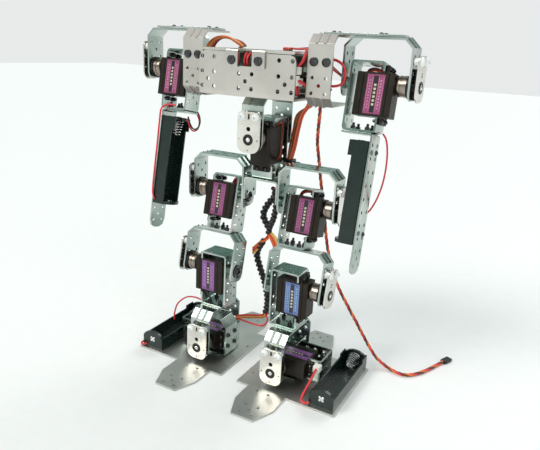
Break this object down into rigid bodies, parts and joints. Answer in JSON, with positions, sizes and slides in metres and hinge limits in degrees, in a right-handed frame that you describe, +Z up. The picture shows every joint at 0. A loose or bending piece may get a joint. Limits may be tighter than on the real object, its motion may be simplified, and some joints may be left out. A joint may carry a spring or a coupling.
{
  "type": "humanoid robot kit",
  "caption": "Desk-size humanoid robot of bent aluminium brackets and hobby servos, with battery trays on the feet and arms and flat soles to stand on.",
  "frame": {"origin": "on the floor, midway between the feet and midway along them", "axes": "+Z up, the robot faces -Y, +X towards the robot's own left side"},
  "size_m": [0.3713, 0.2387, 0.3753],
  "materials": {
    "bracket_aluminium": "satin bare sheet",
    "servo_plastic": "black moulded",
    "holder_plastic": "black moulded",
    "board": "green solder mask",
    "orange_wire": "soft insulation",
    "red_wire": "soft insulation",
    "harness_wrap": "black spiral wrap",
    "connector_plastic": "black moulded"
  },
  "bodies": {
    "pelvis": {"waist_servo_bracket": "bracket_aluminium", "waist_servo": "servo_plastic", "pelvis_bracket": "bracket_aluminium", "leg_harness": "harness_wrap", "left_hip_yoke": "bracket_aluminium", "left_hip_outer_plate": "bracket_aluminium", "right_hip_yoke": "bracket_aluminium", "right_hip_outer_plate": "bracket_aluminium"},
    "torso": {"waist_yoke": "bracket_aluminium", "waist_outer_plate": "bracket_aluminium", "chest_plate": "bracket_aluminium", "chest_beam": "bracket_aluminium", "cross_beam": "bracket_aluminium", "controller_board": "board", "free_lead": "orange_wire", "lead_connector": "connector_plastic", "left_shoulder_yoke": "bracket_aluminium", "left_shoulder_outer_plate": "bracket_aluminium", "left_side_bracket": "bracket_aluminium", "left_shoulder_strap": "bracket_aluminium", "right_shoulder_yoke": "bracket_aluminium", "right_shoulder_outer_plate": "bracket_aluminium", "right_side_bracket": "bracket_aluminium", "right_shoulder_strap": "bracket_aluminium"},
    "left_arm": {"left_shoulder_servo_bracket": "bracket_aluminium", "left_shoulder_servo": "servo_plastic", "left_arm_strip": "bracket_aluminium", "left_arm_battery_holder": "holder_plastic", "left_arm_lead": "red_wire"},
    "left_thigh": {"left_hip_servo_bracket": "bracket_aluminium", "left_hip_servo": "servo_plastic", "left_knee_yoke": "bracket_aluminium", "left_knee_outer_plate": "bracket_aluminium"},
    "left_shin": {"left_knee_servo_bracket": "bracket_aluminium", "left_knee_servo": "servo_plastic", "left_ankle_yoke": "bracket_aluminium", "left_ankle_outer_plate": "bracket_aluminium"},
    "left_foot": {"left_ankle_servo_bracket": "bracket_aluminium", "left_ankle_servo": "servo_plastic", "left_ankle_mount": "bracket_aluminium", "left_foot_plate": "bracket_aluminium", "left_foot_battery_holder": "holder_plastic"},
    "right_arm": {"right_shoulder_servo_bracket": "bracket_aluminium", "right_shoulder_servo": "servo_plastic", "right_arm_strip": "bracket_aluminium", "right_arm_battery_holder": "holder_plastic", "right_arm_lead": "red_wire"},
    "right_thigh": {"right_hip_servo_bracket": "bracket_aluminium", "right_hip_servo": "servo_plastic", "right_knee_yoke": "bracket_aluminium", "right_knee_outer_plate": "bracket_aluminium"},
    "right_shin": {"right_knee_servo_bracket": "bracket_aluminium", "right_knee_servo": "servo_plastic", "right_ankle_yoke": "bracket_aluminium", "right_ankle_outer_plate": "bracket_aluminium"},
    "right_foot": {"right_ankle_servo_bracket": "bracket_aluminium", "right_ankle_servo": "servo_plastic", "right_ankle_mount": "bracket_aluminium", "right_foot_plate": "bracket_aluminium", "right_foot_battery_holder": "holder_plastic"}
  },
  "joints": [
    {"name": "waist_roll", "type": "hinge", "parent": "pelvis", "child": "torso", "pos_m": [0, 0.0097, 0.2677], "axis": [0, 1, 0], "range_deg": [-8, 8], "deforming": ["free_lead", "leg_harness"]},
    {"name": "left_shoulder_swing", "type": "hinge", "parent": "torso", "child": "left_arm", "pos_m": [0.1187, 0.0087, 0.33], "axis": [-1, 0, 0], "range_deg": [-100, 79], "deforming": ["left_arm_lead"]},
    {"name": "left_hip_swing", "type": "hinge", "parent": "pelvis", "child": "left_thigh", "pos_m": [0.055, 0.0122, 0.1975], "axis": [-1, 0, 0], "range_deg": [-25, 45]},
    {"name": "left_knee_bend", "type": "hinge", "parent": "left_thigh", "child": "left_shin", "pos_m": [0.055, -0.00698, 0.11028], "axis": [1, 0, 0], "range_deg": [-30, 60]},
    {"name": "left_ankle_roll", "type": "hinge", "parent": "left_shin", "child": "left_foot", "pos_m": [0.049, -0.00698, 0.021], "axis": [0, 1, 0], "range_deg": [-20, 20]},
    {"name": "right_shoulder_swing", "type": "hinge", "parent": "torso", "child": "right_arm", "pos_m": [-0.1187, 0.0087, 0.33], "axis": [-1, 0, 0], "range_deg": [-100, 79], "deforming": ["right_arm_lead"]},
    {"name": "right_hip_swing", "type": "hinge", "parent": "pelvis", "child": "right_thigh", "pos_m": [-0.055, 0.0122, 0.1975], "axis": [-1, 0, 0], "range_deg": [-25, 45]},
    {"name": "right_knee_bend", "type": "hinge", "parent": "right_thigh", "child": "right_shin", "pos_m": [-0.055, -0.00698, 0.11028], "axis": [1, 0, 0], "range_deg": [-30, 60]},
    {"name": "right_ankle_roll", "type": "hinge", "parent": "right_shin", "child": "right_foot", "pos_m": [-0.049, -0.00698, 0.021], "axis": [0, 1, 0], "range_deg": [-20, 20]}
  ]
}
